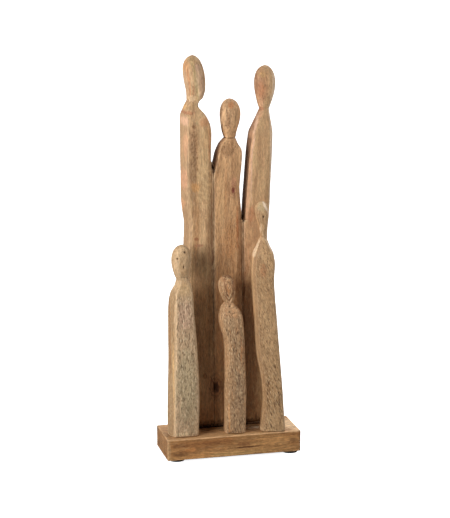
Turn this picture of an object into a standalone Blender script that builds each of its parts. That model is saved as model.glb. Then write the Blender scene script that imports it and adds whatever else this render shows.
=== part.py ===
"""Wooden statuette: six faceless standing figures, carved from planks, on a block base with four pads.

Three tall figures stand side by side at the back, edge against edge, and three shorter ones
stand by themselves in front of them. Units are metres, +Z is up, and the figures face -Y.
The origin is at the middle of the statuette's footprint, on the surface it stands on.
"""

import math
from collections import namedtuple

import bmesh
import bpy

MM = 0.001

# Base block and its pads
BASE_WIDTH = 190 * MM
BASE_HEIGHT = 30 * MM
BASE_EDGE = 2.2 * MM
PAD_DIAMETER = 22 * MM
PAD_HEIGHT = 3.5 * MM
PAD_EDGE = 0.6 * MM
LEFT_PAD_INSET = 16 * MM
RIGHT_PAD_INSET = 12 * MM
PAD_INSET_Y = 14 * MM

# Rows, from the front edge of the base to the back one
FRONT_MARGIN = 8 * MM
FRONT_THICKNESS = 24 * MM
ROW_GAP = 10 * MM
BACK_THICKNESS = 28 * MM
BACK_MARGIN = 3.5 * MM
FRONT_RIGHT_ADVANCE = 3.6 * MM

# Heights of the figures above the base
BACK_LEFT_HEIGHT = 520 * MM
BACK_MIDDLE_HEIGHT = 460 * MM
BACK_RIGHT_HEIGHT = 504 * MM
FRONT_LEFT_HEIGHT = 268 * MM
FRONT_MIDDLE_HEIGHT = 222.5 * MM
FRONT_RIGHT_HEIGHT = 323.5 * MM

# Joints between the back figures, measured across the base from its middle. Above each joint
# is a slot, whose depth is measured from the middle figure's crown.
LEFT_JOINT = -19 * MM
RIGHT_JOINT = 23 * MM
LEFT_SLOT_DEPTH = 95.5 * MM
RIGHT_SLOT_DEPTH = 167 * MM
SLOT_HALF_WIDTH = 2.3 * MM
JOINT_FACET = 0.9 * MM

# How far the back figures' necks stand from their joint: to its left, right and right
BACK_LEFT_OFFSET = 26.4 * MM
BACK_MIDDLE_OFFSET = 24.3 * MM
BACK_RIGHT_OFFSET = 31.1 * MM

# Places of the front figures' necks, measured across the base from its middle
FRONT_LEFT_PLACE = -68.5 * MM
FRONT_MIDDLE_PLACE = -3.8 * MM
FRONT_RIGHT_PLACE = 43.2 * MM

# Workmanship shared by all figures
CONTACT_GAP = 0.3 * MM
FOOT_EDGE = 1.2 * MM
RING_STEP = 17 * MM
LEAST_RING_STEP = 0.8 * MM
CHIN_RINGS = 5
CROWN_RINGS = 6
LAST_CROWN_RING = 0.97
FACET_SOFTNESS = 0.2
WIDEST_FACET = 0.42
HEAD_FACET = 0.27
WIDEST_HEAD_DEPTH = 0.58
SHARPEST_SMOOTH = 28
SHARPEST_UNEASED = 40

# Levels and reaches are hundredths of the figure's own height. A reach is measured sideways
# from the upright line through the neck. Facets are the flats planed along the four corners,
# and the ridge is where the front left one meets the front.
Cheek = namedtuple("Cheek", "reach widest jaw")
Head = namedtuple("Head", "neck_level neck_reach neck_depth shoulder_run depth lean left right")
Facets = namedtuple("Facets", "ridge front_right back")
Joint = namedtuple("Joint", "plane floor")
Figure = namedtuple(
    "Figure",
    "name place height thickness front turn head left right slant facets left_joint right_joint colour",
)


def mixed(start, end, share):
    return start + (end - start) * share


def slope_between(before, after):
    """Slope at a knot that keeps the curve from swinging past its neighbours."""
    if before * after <= 0:
        return 0.0
    return 2 * before * after / (before + after)


def smooth_curve(knots, level):
    """Value at a level of the smooth curve through the knots."""
    points = sorted(knots)
    if level <= points[0][0]:
        return points[0][1]
    if level >= points[-1][0]:
        return points[-1][1]
    secants = [(b[1] - a[1]) / (b[0] - a[0]) for a, b in zip(points, points[1:])]
    slopes = [secants[0], *map(slope_between, secants, secants[1:]), secants[-1]]
    i = next(k for k in range(len(secants)) if level <= points[k + 1][0])
    run = points[i + 1][0] - points[i][0]
    t = (level - points[i][0]) / run
    start = (1 + 2 * t) * (1 - t) ** 2 * points[i][1] + t * (1 - t) ** 2 * run * slopes[i]
    end = t * t * (3 - 2 * t) * points[i + 1][1] - t * t * (1 - t) * run * slopes[i + 1]
    return start + end


def head_swell(neck_level, neck_reach, cheek, level):
    """Reach of one side of a head: it swells from the neck to its widest level and closes at the crown."""
    widest = mixed(neck_level, 100, cheek.widest)
    if level >= widest:
        closing = min(1.0, (level - widest) / (100 - widest))
        return cheek.reach * math.sqrt(1 - closing * closing)
    rising = (level - neck_level) / (widest - neck_level)
    return mixed(neck_reach, cheek.reach, math.sin(math.pi / 2 * rising) ** cheek.jaw)


def side_reach(figure, cheek, knots, level):
    head = figure.head
    if level > head.neck_level:
        return head_swell(head.neck_level, head.neck_reach, cheek, level)
    return smooth_curve([(head.neck_level, head.neck_reach), *knots], level)


def half_depth(figure, level):
    """Half of the figure's depth: the plank's thickness, planed down over the shoulders to the neck."""
    head = figure.head
    unit = figure.height / 100
    if level > head.neck_level:
        brow = Cheek(head.depth / 2, WIDEST_HEAD_DEPTH, 1.0)
        return head_swell(head.neck_level, head.neck_depth / 2, brow, level) * unit
    below_neck = min(1.0, (head.neck_level - level) / head.shoulder_run)
    return mixed(head.neck_depth * unit, figure.thickness, below_neck) / 2


def held_by_joint(edge, above_foot, joint, side):
    """Keeps an edge against its joint below the slot, and off it above."""
    if joint is None:
        return edge
    if above_foot <= joint.floor:
        return joint.plane - side * CONTACT_GAP / 2
    limit = joint.plane - side * SLOT_HALF_WIDTH
    return min(edge, limit) if side > 0 else max(edge, limit)


def softened(corners):
    """Cuts each corner of a closed outline in two, so that facets meet in narrow flats."""
    points = []
    for i, corner in enumerate(corners):
        for other in (corners[i - 1], corners[(i + 1) % len(corners)]):
            points.append(tuple(mixed(c, o, FACET_SOFTNESS) for c, o in zip(corner, other)))
    return points


def section(figure, above_foot):
    """Outline of the figure, seen from above, at a height above its foot."""
    head = figure.head
    unit = figure.height / 100
    level = above_foot / unit
    in_head = level > head.neck_level
    tilt = max(0.0, (level - head.neck_level) / (100 - head.neck_level))
    middle = figure.place + head.lean * tilt * unit
    left = middle - side_reach(figure, head.left, figure.left, level) * unit
    right = middle + side_reach(figure, head.right, figure.right, level) * unit
    left = held_by_joint(left, above_foot, figure.left_joint, -1)
    right = held_by_joint(right, above_foot, figure.right_joint, 1)
    centre = figure.front + figure.thickness / 2
    depth = half_depth(figure, level)
    if above_foot == 0:
        left, right, depth = left + FOOT_EDGE, right - FOOT_EDGE, depth - FOOT_EDGE
    front, back = centre - depth, centre + depth
    slant = 0.0 if in_head else min(figure.slant * unit, (right - left) / 4)
    width = right - left - slant

    def cut(facet, joint=None):
        if joint is not None and above_foot <= joint.floor:
            facet = JOINT_FACET / unit
        size = facet * unit
        across, deep = min(size, WIDEST_FACET * width), min(size, WIDEST_FACET * 2 * depth)
        if in_head:
            across, deep = max(across, HEAD_FACET * width), max(deep, HEAD_FACET * 2 * depth)
        return across, deep

    ridge, ridge_deep = cut(smooth_curve(figure.facets.ridge, level), figure.left_joint)
    front_right, front_right_deep = cut(figure.facets.front_right, figure.right_joint)
    back_left, back_left_deep = cut(figure.facets.back, figure.left_joint)
    back_right, back_right_deep = cut(figure.facets.back, figure.right_joint)
    return softened(
        [
            (left + slant + ridge, front),
            (right - front_right, front),
            (right, front + front_right_deep),
            (right, back - back_right_deep),
            (right - back_right, back),
            (left + back_left, back),
            (left, back - back_left_deep),
            (left + slant * (1 - ridge_deep / (2 * depth)), front + ridge_deep),
        ]
    )


def ring_heights(figure):
    """Heights above the foot at which the figure's outline is drawn."""
    unit = figure.height / 100
    neck = figure.head.neck_level * unit
    steps = round((neck - FOOT_EDGE) / RING_STEP)
    heights = [mixed(FOOT_EDGE, neck, i / steps) for i in range(steps + 1)]
    heights += [level * unit for level, reach in figure.left + figure.right if level * unit > FOOT_EDGE]
    heights.append(neck - figure.head.shoulder_run * unit)
    for joint in (figure.left_joint, figure.right_joint):
        if joint is not None:
            heights += [joint.floor, joint.floor + LEAST_RING_STEP]
    widest = mixed(neck, figure.height, WIDEST_HEAD_DEPTH)
    heights += [mixed(neck, widest, i / CHIN_RINGS) for i in range(1, CHIN_RINGS + 1)]
    for i in range(1, CROWN_RINGS + 1):
        turned = math.pi / 2 * LAST_CROWN_RING * i / CROWN_RINGS
        heights.append(mixed(widest, figure.height, math.sin(turned)))
    kept = [0.0]
    for height in sorted(heights):
        if height - kept[-1] > LEAST_RING_STEP / 2:
            kept.append(height)
    return kept


def coloured(name, colour, roughness):
    material = bpy.data.materials.new(name)
    material.use_nodes = True
    shader = material.node_tree.nodes["Principled BSDF"]
    shader.inputs["Base Color"].default_value = (*colour, 1)
    shader.inputs["Roughness"].default_value = roughness
    shader.inputs["Metallic"].default_value = 0.0
    material.diffuse_color = (*colour, 1)
    return material


def finished(thing, collection, material):
    thing.data.materials.clear()
    thing.data.materials.append(material)
    for other in thing.users_collection:
        other.objects.unlink(thing)
    collection.objects.link(thing)


def carve_figure(figure, base_top, collection):
    """Lofts the figure through its outlines, closes it at foot and crown, and turns it in its place."""
    mesh = bmesh.new()
    pivot = (figure.place, figure.front + figure.thickness / 2)
    rings = []
    for height in ring_heights(figure):
        outline = section(figure, height)
        rings.append([mesh.verts.new((x - pivot[0], y - pivot[1], height)) for x, y in outline])
    for lower, upper in zip(rings, rings[1:]):
        for i in range(len(lower)):
            j = (i + 1) % len(lower)
            mesh.faces.new((lower[i], lower[j], upper[j], upper[i]))
    mesh.faces.new(reversed(rings[0]))
    last = rings[-1]
    crown_x = sum(corner.co.x for corner in last) / len(last)
    crown = mesh.verts.new((crown_x, 0, figure.height))
    for i in range(len(last)):
        mesh.faces.new((last[i], last[(i + 1) % len(last)], crown))
    data = bpy.data.meshes.new(figure.name)
    mesh.to_mesh(data)
    mesh.free()
    data.shade_smooth()
    data.set_sharp_from_angle(angle=math.radians(SHARPEST_SMOOTH))
    thing = bpy.data.objects.new(figure.name, data)
    thing.location = (*pivot, base_top + CONTACT_GAP)
    thing.rotation_euler.z = -math.radians(figure.turn)
    collection.objects.link(thing)
    finished(thing, collection, coloured(figure.name + "_wood", figure.colour, 0.6))


def ease_edges(thing, width):
    bevel = thing.modifiers.new("eased_edges", "BEVEL")
    bevel.width = width
    bevel.segments = 2
    bevel.limit_method = "ANGLE"
    bevel.angle_limit = math.radians(SHARPEST_UNEASED)


def make_base(base_depth, collection):
    bpy.ops.mesh.primitive_cube_add(size=1, location=(0, 0, PAD_HEIGHT + BASE_HEIGHT / 2))
    block = bpy.context.object
    block.name = "base_block"
    block.scale = (BASE_WIDTH, base_depth, BASE_HEIGHT)
    bpy.ops.object.transform_apply(location=False, rotation=False, scale=True)
    ease_edges(block, BASE_EDGE)
    finished(block, collection, coloured("base_wood", (0.36, 0.20, 0.09), 0.6))


def make_pads(base_depth, collection):
    rubber = coloured("pad_rubber", (0.02, 0.02, 0.02), 0.8)
    height = PAD_HEIGHT - CONTACT_GAP
    left = LEFT_PAD_INSET - BASE_WIDTH / 2
    right = BASE_WIDTH / 2 - RIGHT_PAD_INSET
    y = base_depth / 2 - PAD_INSET_Y
    corners = {"front_left": (left, -y), "front_right": (right, -y), "back_left": (left, y), "back_right": (right, y)}
    for name, (pad_x, pad_y) in corners.items():
        bpy.ops.mesh.primitive_cylinder_add(
            vertices=28, radius=PAD_DIAMETER / 2, depth=height, location=(pad_x, pad_y, height / 2)
        )
        pad = bpy.context.object
        pad.name = name + "_pad"
        ease_edges(pad, PAD_EDGE)
        finished(pad, collection, rubber)


def front_figures(front_edge):
    """The three figures that stand by themselves, from left to right."""
    row = front_edge + FRONT_MARGIN
    yield Figure(
        name="front_left_figure",
        place=FRONT_LEFT_PLACE,
        height=FRONT_LEFT_HEIGHT,
        thickness=FRONT_THICKNESS,
        front=row,
        turn=1.5,
        head=Head(82.2, 3.1, 5.6, 7.5, 8.4, -0.2, Cheek(5.3, 0.57, 1.0), Cheek(4.5, 0.67, 2.0)),
        left=[(79.2, 3.8), (75.5, 5.7), (71.3, 6.7), (66.1, 7.1), (0, 7.3)],
        right=[(78.4, 4.4), (72.1, 5.0), (66.9, 5.2), (50.9, 6.6), (29.9, 7.8), (19.1, 8.0), (0, 7.4)],
        slant=1.6,
        facets=Facets([(0, 0.6)], 1.2, 1.2),
        left_joint=None,
        right_joint=None,
        colour=(0.42, 0.30, 0.18),
    )
    yield Figure(
        name="front_middle_figure",
        place=FRONT_MIDDLE_PLACE,
        height=FRONT_MIDDLE_HEIGHT,
        thickness=FRONT_THICKNESS,
        front=row,
        turn=10,
        head=Head(83.1, 2.6, 5.2, 8.0, 8.7, -0.9, Cheek(5.8, 0.66, 1.0), Cheek(4.4, 0.58, 0.6)),
        left=[(79.5, 5.0), (74.3, 6.2), (70.4, 6.0), (67.1, 5.3), (60.4, 3.2), (46.4, 2.5), (0, 2.8)],
        right=[(81.2, 3.8), (78.8, 6.2), (76.0, 7.7), (70.2, 8.8), (46.4, 10.0), (20.7, 10.7), (0, 10.4)],
        slant=0.4,
        facets=Facets([(70, 3.2), (20, 3.4), (0, 1.7)], 1.4, 1.4),
        left_joint=None,
        right_joint=None,
        colour=(0.40, 0.28, 0.17),
    )
    yield Figure(
        name="front_right_figure",
        place=FRONT_RIGHT_PLACE,
        height=FRONT_RIGHT_HEIGHT,
        thickness=FRONT_THICKNESS,
        front=row - FRONT_RIGHT_ADVANCE,
        turn=10,
        head=Head(85.2, 0.9, 3.4, 8.0, 6.2, -0.4, Cheek(3.0, 0.74, 2.0), Cheek(2.7, 0.78, 1.0)),
        left=[(81.7, 2.4), (76.8, 4.3), (71.2, 4.7), (53.2, 3.7), (35.3, 2.7), (22.0, 0.3), (14.3, -0.1)]
        + [(8.4, 0.1), (0, 1.1)],
        right=[(83.9, 1.6), (80.8, 2.9), (78.3, 4.2), (73.4, 5.0), (66.9, 4.7), (49.0, 6.0), (22.4, 8.3)]
        + [(0, 9.9)],
        slant=0.2,
        facets=Facets([(85, 0.6), (79, 1.9), (0, 1.9)], 1.0, 1.0),
        left_joint=None,
        right_joint=None,
        colour=(0.46, 0.32, 0.18),
    )


def back_figures(front_edge):
    """The three figures that stand edge against edge, from left to right."""
    row = front_edge + FRONT_MARGIN + FRONT_THICKNESS + ROW_GAP
    left_joint = Joint(LEFT_JOINT, BACK_MIDDLE_HEIGHT - LEFT_SLOT_DEPTH)
    right_joint = Joint(RIGHT_JOINT, BACK_MIDDLE_HEIGHT - RIGHT_SLOT_DEPTH)
    yield Figure(
        name="back_left_figure",
        place=LEFT_JOINT - BACK_LEFT_OFFSET,
        height=BACK_LEFT_HEIGHT,
        thickness=BACK_THICKNESS,
        front=row,
        turn=0,
        head=Head(88.3, 1.4, 3.0, 5.0, 4.9, 0.0, Cheek(2.4, 0.70, 2.0), Cheek(3.3, 0.36, 0.85)),
        left=[(86.7, 2.1), (84.0, 2.9), (77.7, 2.8), (61.9, 2.6), (55.0, 2.0), (51.2, 2.2), (41.6, 2.5)]
        + [(0, 2.9)],
        right=[(86.9, 1.7), (84.2, 3.2), (82.1, 4.2), (80.0, 4.6), (72.7, 4.4), (70.0, 4.7), (0, 5.1)],
        slant=0.7,
        facets=Facets([(86, 0.4), (80, 0.8), (0, 0.8)], 0.5, 0.6),
        left_joint=None,
        right_joint=left_joint,
        colour=(0.44, 0.29, 0.15),
    )
    yield Figure(
        name="back_middle_figure",
        place=LEFT_JOINT + BACK_MIDDLE_OFFSET,
        height=BACK_MIDDLE_HEIGHT,
        thickness=BACK_THICKNESS,
        front=row,
        turn=0,
        head=Head(88.5, 1.8, 3.4, 4.5, 5.3, 0.2, Cheek(2.7, 0.66, 1.5), Cheek(3.2, 0.60, 1.5)),
        left=[(86.5, 3.0), (83.5, 4.0), (81.1, 4.5), (79.2, 4.8), (0, 5.3)],
        right=[(86.8, 2.4), (85.5, 3.1), (82.9, 3.7), (79.4, 3.3), (74.0, 2.8), (68.7, 3.1), (64.4, 3.5)]
        + [(0, 3.8)],
        slant=0.1,
        facets=Facets([(0, 0.4)], 0.8, 0.6),
        left_joint=left_joint,
        right_joint=right_joint,
        colour=(0.42, 0.27, 0.14),
    )
    yield Figure(
        name="back_right_figure",
        place=RIGHT_JOINT + BACK_RIGHT_OFFSET,
        height=BACK_RIGHT_HEIGHT,
        thickness=BACK_THICKNESS,
        front=row,
        turn=0,
        head=Head(88.3, 1.3, 2.8, 6.0, 4.9, 0.2, Cheek(2.7, 0.63, 1.0), Cheek(2.8, 0.60, 1.0)),
        left=[(86.3, 2.1), (82.0, 3.9), (77.0, 4.6), (68.9, 5.2), (58.8, 5.7), (0, 6.4)],
        right=[(86.3, 1.5), (82.0, 2.0), (71.7, 1.6), (62.5, 1.2), (53.6, 0.5), (0, 1.2)],
        slant=0.1,
        facets=Facets([(0, 0.9)], 0.8, 0.8),
        left_joint=right_joint,
        right_joint=None,
        colour=(0.42, 0.25, 0.13),
    )


def main():
    for thing in list(bpy.data.objects):
        bpy.data.objects.remove(thing)
    collection = bpy.data.collections.new("six_figures_statuette")
    bpy.context.scene.collection.children.link(collection)
    base_depth = FRONT_MARGIN + FRONT_THICKNESS + ROW_GAP + BACK_THICKNESS + BACK_MARGIN
    front_edge = -base_depth / 2
    base_top = PAD_HEIGHT + BASE_HEIGHT
    make_base(base_depth, collection)
    make_pads(base_depth, collection)
    for figure in (*front_figures(front_edge), *back_figures(front_edge)):
        carve_figure(figure, base_top, collection)


main()
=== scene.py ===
import math

import bpy
import numpy as np
from mathutils import Euler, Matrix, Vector


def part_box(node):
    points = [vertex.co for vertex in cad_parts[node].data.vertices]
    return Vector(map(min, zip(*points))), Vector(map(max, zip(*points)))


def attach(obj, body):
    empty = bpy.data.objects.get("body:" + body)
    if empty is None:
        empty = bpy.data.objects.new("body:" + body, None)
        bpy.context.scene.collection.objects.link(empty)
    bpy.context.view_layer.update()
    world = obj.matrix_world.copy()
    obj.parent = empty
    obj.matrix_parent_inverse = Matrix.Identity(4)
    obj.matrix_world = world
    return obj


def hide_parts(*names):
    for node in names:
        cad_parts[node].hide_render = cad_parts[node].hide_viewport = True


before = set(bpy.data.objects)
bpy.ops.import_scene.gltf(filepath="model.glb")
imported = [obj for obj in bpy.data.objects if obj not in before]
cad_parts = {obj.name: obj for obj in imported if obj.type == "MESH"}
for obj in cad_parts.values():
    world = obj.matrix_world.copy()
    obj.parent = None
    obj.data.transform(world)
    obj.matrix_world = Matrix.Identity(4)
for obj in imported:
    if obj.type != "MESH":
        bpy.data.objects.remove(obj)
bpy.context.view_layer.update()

MM = 0.001

# Base block
# One piece of the same open-grained hardwood as the figures, sawn to a rectangle with the grain
# running along it. Its edges were eased by sanding and are worn pale, with a painted highlight;
# its top carries painted light. The pads stick under it and the figures are fixed on its top.

BASE_VOXEL = 0.8 * MM
BASE_CORNER = 0.7 * MM
BASE_EDGE = 0.8 * MM
BASE_MARK_STRETCH = (0.06, 0.012, 0.012)
BASE_MARK_DEPTH = 0.3 * MM
LEAST_SHARE = 0.01
SOFT_TOP = 3 * MM
THROUGH = 1000
# Share of the painted shade laid in creases.
CREASE_SHADE_SHARE = 0.7
DARK_PORE = 0.6
PORE_DEPTH = 0.6 * MM
WOOD_GLOSS = 0.3


def deselect_all():
    for other in bpy.context.selected_objects:
        other.select_set(False)


def select_only(piece):
    deselect_all()
    piece.select_set(True)
    bpy.context.view_layer.objects.active = piece


def apply_modifier(piece, kind, **settings):
    select_only(piece)
    modifier = piece.modifiers.new(kind.lower(), kind)
    for name, value in settings.items():
        setattr(modifier, name, value)
    bpy.ops.object.modifier_apply(modifier=modifier.name)


def round_edges(piece, width):
    apply_modifier(
        piece,
        "BEVEL",
        width=width,
        segments=3,
        limit_method="ANGLE",
        angle_limit=math.radians(60),
    )


def skin_again(piece, voxel):
    """Gives a closed piece a fine, even skin, on which wear and tool marks can be laid."""
    apply_modifier(piece, "REMESH", mode="VOXEL", voxel_size=voxel, use_smooth_shade=True)


def share_out(piece, share):
    """Gives each point of the skin its share, 0 to 1, by its place in mm and the way it faces."""
    count = len(piece.data.vertices)
    places, normals = np.empty(3 * count), np.empty(3 * count)
    piece.data.vertices.foreach_get("co", places)
    piece.data.vertices.foreach_get("normal", normals)
    x, y, z = places.reshape(-1, 3).T / MM
    shares = share(x, y, z, normals.reshape(-1, 3).T)
    group = piece.vertex_groups.new(name="share")
    for index in np.flatnonzero(shares > LEAST_SHARE):
        group.add([int(index)], min(float(shares[index]), 1.0), "REPLACE")
    return group


def lay_marks(piece, stretch, depth, spared=None, proud=0.0):
    """Lays soft hollows in the skin, longer along the grain, but for the places spared.

    The skin between the hollows stands proud by a share of their depth.
    """
    hollows = bpy.data.textures.new(piece.name + "_hollows", "CLOUDS")
    hollows.noise_scale = 1.0
    hollows.noise_depth = 2
    ruler = bpy.data.objects.new(piece.name + "_ruler", None)
    bpy.context.scene.collection.objects.link(ruler)
    ruler.scale = stretch
    bpy.context.view_layer.update()
    settings = {}
    if spared:
        settings = {"vertex_group": share_out(piece, spared).name, "invert_vertex_group": True}
    apply_modifier(
        piece,
        "DISPLACE",
        texture=hollows,
        texture_coords="OBJECT",
        texture_coords_object=ruler,
        mid_level=1.0 - proud,
        strength=depth,
        **settings,
    )
    piece.vertex_groups.clear()
    bpy.data.objects.remove(ruler)
    bpy.data.textures.remove(hollows)


def press(piece, depth, share, direction="NORMAL"):
    """Presses the skin in, or along an axis, by the share of the depth that each point has."""
    group = share_out(piece, share)
    apply_modifier(
        piece,
        "DISPLACE",
        vertex_group=group.name,
        direction=direction,
        mid_level=0.0,
        strength=-depth,
    )
    piece.vertex_groups.clear()


def bell(distance, width):
    return np.exp(-((distance / width) ** 2))


def fade(value, start, end):
    """Goes from 0 at the start to 1 at the end, softly at both."""
    share = np.clip((value - start) / (end - start), 0, 1)
    return share * share * (3 - 2 * share)


def tone(red, green, blue):
    """Turns a colour, out of 255, into the linear values that a shader takes."""
    linear = [
        value / 255 / 12.92 if value < 10 else ((value / 255 + 0.055) / 1.055) ** 2.4
        for value in (red, green, blue)
    ]
    return (*linear, 1)


class Bench:
    """A node tree being wired: it adds nodes, links them and hands back their outputs."""

    def __init__(self, tree):
        self.tree = tree

    def add(self, kind, inputs=(), **settings):
        node = self.tree.nodes.new(kind)
        for name, value in settings.items():
            setattr(node, name, value)
        for key, value in dict(inputs).items():
            self.feed(node.inputs[key], value)
        return node

    def feed(self, socket, value):
        if isinstance(value, bpy.types.NodeSocket):
            self.tree.links.new(value, socket)
        else:
            socket.default_value = value

    def math(self, operation, a, b=0.0, c=0.0):
        return self.add("ShaderNodeMath", {0: a, 1: b, 2: c}, operation=operation).outputs[0]

    def vector(self, operation, a, b=(0, 0, 0)):
        node = self.add("ShaderNodeVectorMath", {0: a, 1: b}, operation=operation)
        return node.outputs["Value" if operation in ("LENGTH", "DOT_PRODUCT") else "Vector"]

    def drawn_out(self, vector, squash):
        """Draws a pattern out along the grain, by squashing the length that it is read on."""
        return self.vector("MULTIPLY", vector, (1, 1, squash))

    def leant(self, vector, lean):
        """Leans a pattern by an angle, its top to the right."""
        back = self.math("MULTIPLY", lean, -1.0)
        node = self.add(
            "ShaderNodeVectorRotate", {"Vector": vector, "Angle": back}, rotation_type="Y_AXIS"
        )
        return node.outputs[0]

    def noise(self, vector, scale, detail=2.0, roughness=0.5, output="Fac"):
        node = self.add(
            "ShaderNodeTexNoise",
            {"Vector": vector, "Scale": scale, "Detail": detail, "Roughness": roughness},
        )
        return node.outputs[output]

    def drift(self, vector, squash, scale, detail, reach):
        """Pushes a pattern about with a slow noise, by up to half the reach each way."""
        push = self.noise(self.drawn_out(vector, squash), scale, detail, output="Color")
        push = self.vector("SUBTRACT", push, (0.5, 0.5, 0.5))
        node = self.add("ShaderNodeVectorMath", {0: push, "Scale": reach}, operation="SCALE")
        return self.vector("ADD", vector, node.outputs["Vector"])

    def between(self, value, low, high, start=0.0, end=1.0):
        """Runs from start to end as the value goes from low to high, softly at both ends."""
        node = self.add(
            "ShaderNodeMapRange",
            {"Value": value, "From Min": low, "From Max": high, "To Min": start, "To Max": end},
            interpolation_type="SMOOTHSTEP",
        )
        return node.outputs["Result"]

    def blend(self, factor, a, b, how="MIX"):
        node = self.add("ShaderNodeMix", data_type="RGBA", blend_type=how)
        self.feed(node.inputs[0], factor)
        self.feed(node.inputs[6], a)
        self.feed(node.inputs[7], b)
        return node.outputs[2]

    def tint(self, colour, mask, share, shade):
        """Lays a shade over a colour where the mask is, as strongly as the share says."""
        return self.blend(self.math("MULTIPLY", mask, share), colour, shade)

    def effect(self, group, inputs):
        return self.add("ShaderNodeGroup", inputs, node_tree=group).outputs


def new_effect(name, inputs, outputs):
    """Starts a shader node group and returns its bench, its inputs and its output node."""
    group = bpy.data.node_groups.new(name, "ShaderNodeTree")
    for label, kind in inputs.items():
        group.interface.new_socket(label, in_out="INPUT", socket_type="NodeSocket" + kind)
    for label, kind in outputs.items():
        group.interface.new_socket(label, in_out="OUTPUT", socket_type="NodeSocket" + kind)
    bench = Bench(group)
    return bench, bench.add("NodeGroupInput").outputs, bench.add("NodeGroupOutput").inputs


def make_grain():
    """Streaks along the grain at two widths, which wander a little, and a short speckle."""
    bench, given, out = new_effect(
        "wood grain",
        {"Vector": "Vector", "Wander": "Float"},
        {"Broad": "Float", "Fine": "Float", "Speckle": "Float"},
    )
    bent = bench.drift(given["Vector"], 0.35, 28, 1.0, given["Wander"])
    along = bench.drawn_out(bent, 0.06)
    bench.feed(out["Broad"], bench.noise(along, 130, 2.0))
    bench.feed(out["Fine"], bench.noise(along, 420, 3.0, 0.6))
    speckle = bench.noise(bench.drawn_out(bent, 0.34), 540, 2.0, 0.7)
    bench.feed(out["Speckle"], bench.between(speckle, 0.33, 0.67))
    return bench.tree


def make_pores():
    """Short dashes where the open pores of the wood were sawn through."""
    bench, given, out = new_effect(
        "open pores",
        {"Vector": "Vector", "Width": "Float", "Length": "Float", "Share": "Float"},
        {"Dash": "Float"},
    )
    width, length = given["Width"], given["Length"]
    size = bench.add("ShaderNodeCombineXYZ", {0: width, 1: width, 2: length}).outputs[0]
    lie = bench.vector("DIVIDE", given["Vector"], size)
    cell = bench.add("ShaderNodeTexVoronoi", {"Vector": lie, "Scale": 1.0}).outputs
    luck = bench.add("ShaderNodeSeparateColor", {0: cell["Color"]}).outputs
    dash = bench.between(cell["Distance"], 0.25, 0.5, 1.0, 0.0)
    dash = bench.math("MULTIPLY", dash, bench.math("LESS_THAN", luck[0], given["Share"]))
    strength = bench.math("MULTIPLY_ADD", luck[1], 0.5, 0.5)
    bench.feed(out["Dash"], bench.math("MULTIPLY", dash, strength))
    return bench.tree


def make_knot():
    """A small grown-in knot: a dark heart, rings round it and a reddish halo."""
    bench, given, out = new_effect(
        "knot",
        {"Vector": "Vector", "Place": "Vector", "Size": "Float"},
        {"Heart": "Float", "Rings": "Float", "Halo": "Float"},
    )
    offset = bench.vector("SUBTRACT", given["Vector"], given["Place"])
    rough = bench.noise(bench.drawn_out(given["Vector"], 0.35), 420, 2.0)
    rough = bench.math("SUBTRACT", bench.math("MULTIPLY", rough, 1.3), 0.65)
    reach = bench.vector("LENGTH", bench.vector("MULTIPLY", offset, (1, 0.6, 0.62)))
    rings = bench.math("ADD", bench.math("DIVIDE", reach, given["Size"]), rough)
    bench.feed(out["Heart"], bench.between(rings, 0.55, 1.0, 1.0, 0.0))
    bench.feed(out["Halo"], bench.between(rings, 0.8, 2.6, 1.0, 0.0))
    ripple = bench.math("SINE", bench.math("MULTIPLY", rings, 9.0))
    ripple = bench.between(ripple, -0.2, 0.9)
    fading = bench.between(rings, 1.0, 3.2, 1.0, 0.0)
    bench.feed(out["Rings"], bench.math("MULTIPLY", ripple, fading))
    return bench.tree


def make_wear():
    """Wear and painted highlight where the skin stands proud, painted shade where it lies in a
    crease, from how sharply it bends.
    """
    bench, given, out = new_effect(
        "edge wear, highlight and crease shade", {"Vector": "Vector"}, {"Wear and highlight": "Float", "Crease shade": "Float"}
    )
    bend = bench.add("ShaderNodeNewGeometry").outputs["Pointiness"]
    patchy = bench.math("MULTIPLY", bench.noise(given["Vector"], 90, 3.0, 0.6), 0.02)
    bend = bench.math("ADD", bend, bench.math("SUBTRACT", patchy, 0.01))
    bench.feed(out["Wear and highlight"], bench.between(bend, 0.503, 0.54))
    bench.feed(out["Crease shade"], bench.between(bend, 0.495, 0.45))
    return bench.tree


def make_stain():
    """A mark in the wood with ragged edges, which may lean, its top to the right."""
    bench, given, out = new_effect(
        "stain",
        {"Vector": "Vector", "Place": "Vector", "Size": "Vector", "Lean": "Float"},
        {"Stained": "Float"},
    )
    offset = bench.vector("SUBTRACT", given["Vector"], given["Place"])
    upright = bench.leant(offset, given["Lean"])
    ragged = bench.noise(bench.drawn_out(given["Vector"], 0.4), 260, 3.0, 0.6)
    reach = bench.vector("LENGTH", bench.vector("DIVIDE", upright, given["Size"]))
    reach = bench.math("ADD", reach, bench.math("MULTIPLY_ADD", ragged, 1.5, -0.75))
    bench.feed(out["Stained"], bench.between(reach, 0.5, 1.2, 1.0, 0.0))
    return bench.tree


def make_curl():
    """Ripples that lean across the grain, as wood has that grew round a bend."""
    bench, given, out = new_effect(
        "curly grain", {"Vector": "Vector", "Pitch": "Float", "Lean": "Float"}, {"Ripple": "Float"}
    )
    turned = bench.leant(given["Vector"], given["Lean"])
    across = bench.add("ShaderNodeSeparateXYZ", {0: turned}).outputs["X"]
    sway = bench.noise(given["Vector"], 85, 3.0, 0.6)
    turns = bench.math("MULTIPLY_ADD", sway, 3.0, bench.math("DIVIDE", across, given["Pitch"]))
    ripple = bench.math("SINE", bench.math("MULTIPLY", turns, math.tau))
    bench.feed(out["Ripple"], bench.between(ripple, -0.3, 0.9))
    return bench.tree


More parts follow.
